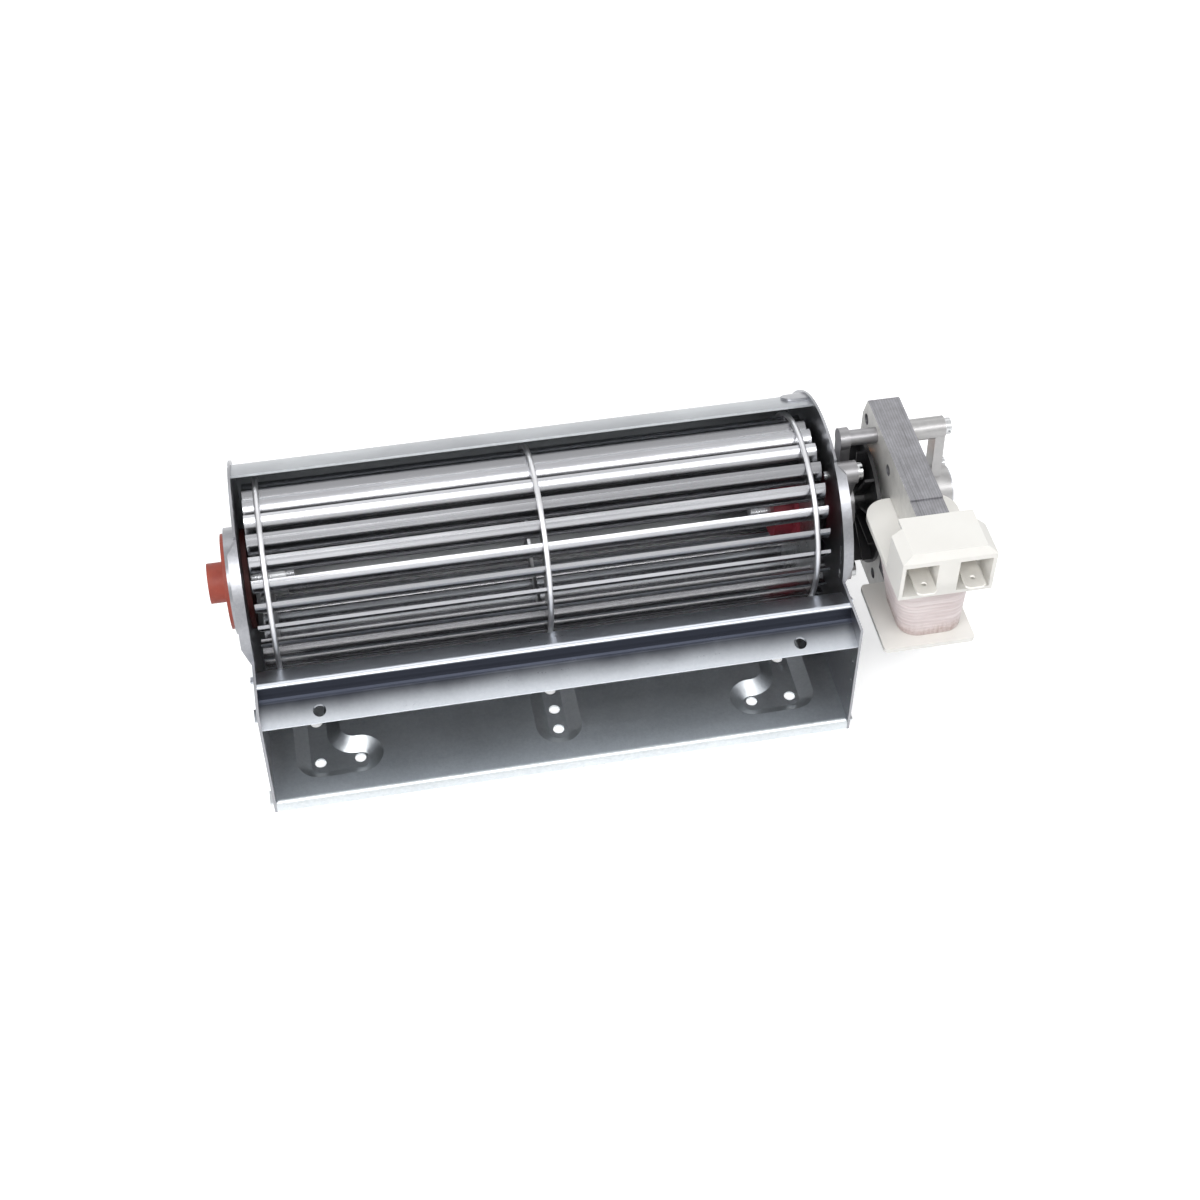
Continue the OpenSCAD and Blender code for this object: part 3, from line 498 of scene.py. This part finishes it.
# Width of the rounded edges, in metres, for the pieces whose edges show
EDGES = {
    0.00018: ["scroll_housing", "tongue_sheet", "left_end_plate", "right_end_plate"],
    0.00035: ["bobbin", "terminal_lid", "bearing_mount", "drive_hub"],
    0.00022: ["stator_core", "coil_core", "left_end_disc", "bearing_cap", "blade_terminals"],
    0.0005: ["front_bracket", "rear_bracket"],
    0.0003: ["bracket_screws", "plate_screws", "bearing_cap_screws", "cooling_fan",
             "idle_shaft"],
}
EDGE_ANGLE = math.radians(38)


def soften(name, width):
    """Small rounded edges that catch the light, as a modifier on the CAD object."""
    mod = nodes[name].modifiers.new("edges", "BEVEL")
    mod.width = width
    mod.segments = 2
    mod.limit_method = "ANGLE"
    mod.angle_limit = EDGE_ANGLE
    mod.use_clamp_overlap = True
    mod.harden_normals = True


for width, names in EDGES.items():
    for name in names:
        soften(name, width)
nodes["scroll_housing"].modifiers.new("flat faces", "WEIGHTED_NORMAL").keep_sharp = True

# The taped coil: its round corners, and how far it leaves an even block of wire, in metres
COIL_CORNER = 0.006
CORNER_STEPS = 8
FOOT_LEFT = 0.0042
FOOT_RIGHT = 0.0002
FOOT_FRONT = 0.0010
HEAD_LEFT = 0.0018
ROW_DRIFT = 0.00012
RINGS_PER_ROW = 6


def ring_outline(width, depth):
    """Points of a rectangle with round corners, centred on zero."""
    points = []
    r = COIL_CORNER
    for sx, sy, start in ((1, 1, 0), (-1, 1, 90), (-1, -1, 180), (1, -1, 270)):
        for i in range(CORNER_STEPS + 1):
            a = math.radians(start + 90.0 * i / CORNER_STEPS)
            points.append((sx * (width / 2 - r) + r * math.cos(a),
                           sy * (depth / 2 - r) + r * math.sin(a)))
    return points


def wound_sleeve(name, node, inset, wall, look, rows, rough_by, seed):
    """A taped coil that gets slimmer downwards, with uneven rows of wire under the tape."""
    (x0, y0, z0), (x1, y1, z1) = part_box(node)
    rng = random.Random(seed)
    levels = rows * RINGS_PER_ROW
    bulge = [rng.uniform(0.4, 1.0) for _ in range(rows + 1)]
    drift = [rng.uniform(-1.0, 1.0) for _ in range(rows + 1)]
    rings = []
    for k in range(levels + 1):
        t = k / levels
        row = min(int(t * rows), rows - 1)
        low = (1.0 - t) ** 1.3
        wave = rough_by * bulge[row] * (1.0 - abs(math.sin(math.pi * t * rows)))
        left = x0 + inset + wave + FOOT_LEFT * low - HEAD_LEFT * t ** 3
        right = x1 - inset - wave - FOOT_RIGHT * low
        front = y0 + inset + wave + FOOT_FRONT * low
        back = y1 - inset - wave
        z = z0 + t * (z1 - z0)
        ring = []
        for px, py in ring_outline(right - left, back - front):
            lift = ROW_DRIFT * drift[row] * math.sin(3 * math.atan2(py, px))
            ring.append(((left + right) / 2 + px, (front + back) / 2 + py,
                         min(max(z + lift, z0), z1)))
        rings.append(ring)
    cx, cy = (x0 + x1) / 2, (y0 + y1) / 2
    for k, z in ((levels, z1), (0, z0)):
        rings.append([(cx + (p[0] - cx) * (1 - wall), cy + (p[1] - cy) * (1 - wall), z)
                      for p in rings[k]])
    n = len(rings[0])
    faces = []
    for k in range(len(rings)):
        a, b = k * n, (k + 1) % len(rings) * n
        for i in range(n):
            j = (i + 1) % n
            faces.append((a + i, a + j, b + j, b + i))
    mesh = bpy.data.meshes.new(name)
    mesh.from_pydata([p for ring in rings for p in ring], [], faces)
    mesh.validate()
    for poly in mesh.polygons:
        poly.use_smooth = True
    mesh.set_sharp_from_angle(angle=math.radians(60))
    mesh.materials.append(finish[look])
    obj = bpy.data.objects.new(name, mesh)
    scene.collection.objects.link(obj)
    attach(obj, "housing")
    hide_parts(node)


wound_sleeve("taped_coil", "winding_tape", inset=0.0, wall=0.05, look="tape", rows=17,
             rough_by=0.00026, seed=11)
wound_sleeve("copper_coil", "coil_winding", inset=0.0002, wall=0.3, look="copper", rows=17,
             rough_by=0.0001, seed=12)

# Floor: the half of its side and its drop below the part in metres, and its light for the camera
FLOOR = 4.0
FLOOR_DROP = 0.0002
GLOW = 0.48
GLOW_REACH = (0.3, 1.2)
PAPER = (0.8, 0.8, 0.8, 1)
TABLE = (0.75, 0.75, 0.75, 1)


def floor_paper():
    """White paper for the camera and for reflections, with the shadow on it; the part is lit
    from a darker table. Far away, where the lamps don't reach, the paper stays white."""
    mat = bpy.data.materials.new("floor_paper")
    mat.use_nodes = True
    g = Graph(mat.node_tree)
    g.tree.nodes.clear()
    coord = g.node("TexCoord").outputs["Object"]
    grain = g.node("TexNoise", {"Scale": 40.0, "Vector": coord}).outputs["Fac"]
    near = g.span(grain, 0.0, 1.0, GLOW * 0.99, GLOW)
    reach = g.node("VectorMath", {0: coord}, operation="LENGTH").outputs["Value"]
    far = g.smooth(reach, *GLOW_REACH, 0.0, 1.0 - GLOW)
    paper = g.node("BsdfDiffuse", {"Color": PAPER}).outputs[0]
    light = g.node("Emission", {"Strength": g.math("ADD", near, far)}).outputs[0]
    white = g.node("AddShader", {0: paper, 1: light}).outputs[0]
    table = g.node("BsdfDiffuse", {"Color": TABLE}).outputs[0]
    seen = g.seen("Is Camera Ray", "Is Glossy Ray", "Is Transmission Ray")
    mix = g.node("MixShader", {0: seen, 1: table, 2: white}).outputs[0]
    g.node("OutputMaterial", {"Surface": mix})
    return mat


floor_mesh = bpy.data.meshes.new("floor")
floor_mesh.from_pydata([(-FLOOR, -FLOOR, 0), (FLOOR, -FLOOR, 0), (FLOOR, FLOOR, 0),
                        (-FLOOR, FLOOR, 0)], [], [(0, 1, 2, 3)])
floor_mesh.materials.append(floor_paper())
floor = bpy.data.objects.new("floor", floor_mesh)
floor.location.z = cad_box[0][2] - FLOOR_DROP
scene.collection.objects.link(floor)


def make_world():
    """A bright ceiling, a paler back and left wall and a dim front; white where it is seen."""
    world = bpy.data.worlds.new("studio")
    scene.world = world
    world.use_nodes = True
    g = Graph(world.node_tree)
    g.tree.nodes.clear()
    way = g.node("TexCoord").outputs["Generated"]
    way = g.node("SeparateXYZ", {"Vector": way}).outputs
    ceiling = g.smooth(way["Z"], 0.6, 0.95, 0.0, 0.55)
    back = g.smooth(way["Y"], 0.0, 0.8, 0.0, 0.30)
    left = g.smooth(way["X"], -0.9, -0.3, 0.3, 0.0)
    level = g.math("ADD", g.math("ADD", ceiling, back), g.math("ADD", left, 0.12))
    studio = g.node("Background", {"Color": (0.97, 0.985, 1.0, 1), "Strength": level}).outputs[0]
    white = g.node("Background", {"Color": (1, 1, 1, 1), "Strength": 1.0}).outputs[0]
    seen = g.seen("Is Camera Ray", "Is Glossy Ray", "Is Transmission Ray")
    mix = g.node("MixShader", {0: seen, 1: studio, 2: white}).outputs[0]
    g.node("OutputWorld", {"Surface": mix})


make_world()

# Name, place, width and depth in metres, and power in watts of each soft lamp
CENTRE = Vector((0.02, 0.0, 0.05))
LAMPS = (
    ("key", (-0.12, -0.85, 1.15), (1.4, 0.35), 11.5),
    ("side", (-0.95, -0.55, 0.7), (0.6, 0.6), 6.5),
    ("fill", (0.95, -0.5, 0.7), (0.6, 0.6), 4.0),
    ("back", (0.1, 0.9, 1.0), (1.2, 0.5), 1.5),
)
for name, place, size, power in LAMPS:
    data = bpy.data.lights.new(name, "AREA")
    data.shape = "RECTANGLE"
    data.size, data.size_y = size
    data.energy = power
    obj = bpy.data.objects.new(name, data)
    scene.collection.objects.link(obj)
    obj.location = place
    obj.rotation_euler = (CENTRE - Vector(place)).to_track_quat("-Z", "Y").to_euler()
